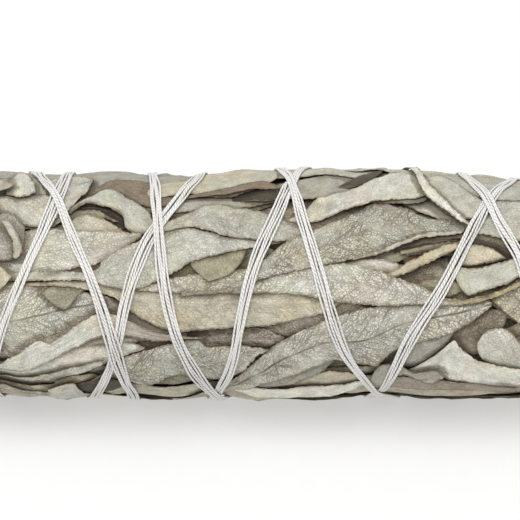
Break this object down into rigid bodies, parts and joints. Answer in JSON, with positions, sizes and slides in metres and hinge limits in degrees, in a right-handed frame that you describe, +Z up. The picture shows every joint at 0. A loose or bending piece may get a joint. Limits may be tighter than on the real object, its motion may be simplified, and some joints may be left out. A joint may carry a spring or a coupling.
{
  "type": "sage bunch",
  "caption": "Dried sage bundle lying down: leafy cuttings laid lengthwise in overlapping leaves and bound with cotton thread wound up the bundle and back.",
  "frame": {"origin": "on the surface that the bundle lies on, below the middle of its length and width", "axes": "+X from the cut stems to the leaf tips, +Z up"},
  "size_m": [0.1998, 0.0454, 0.0444],
  "materials": {
    "sage_1": "matt, dry and felted leaf",
    "sage_2": "matt, dry and felted leaf",
    "sage_3": "matt, dry and felted leaf",
    "sage_4": "matt, dry and felted leaf",
    "sage_5": "matt, dry and felted leaf",
    "sage_6": "matt, dry and felted leaf",
    "sage_7": "matt, dry and felted leaf",
    "sage_8": "matt, dry and felted leaf",
    "sage_9": "matt, dry and felted leaf",
    "loose_leaf": "matt, dry and felted leaf",
    "thread": "matt white cotton"
  },
  "bodies": {
    "root": {"sage_sprig_1": "sage_1", "sage_sprig_2": "sage_2", "sage_sprig_3": "sage_3", "sage_sprig_4": "sage_4", "sage_sprig_5": "sage_5", "sage_sprig_6": "sage_6", "sage_sprig_7": "sage_7", "sage_sprig_8": "sage_8", "sage_sprig_9": "sage_9", "loose_leaf_1": "loose_leaf", "loose_leaf_2": "loose_leaf", "loose_leaf_3": "loose_leaf", "loose_leaf_4": "loose_leaf", "loose_leaf_5": "loose_leaf", "loose_leaf_6": "loose_leaf", "binding_thread": "thread"}
  },
  "joints": []
}
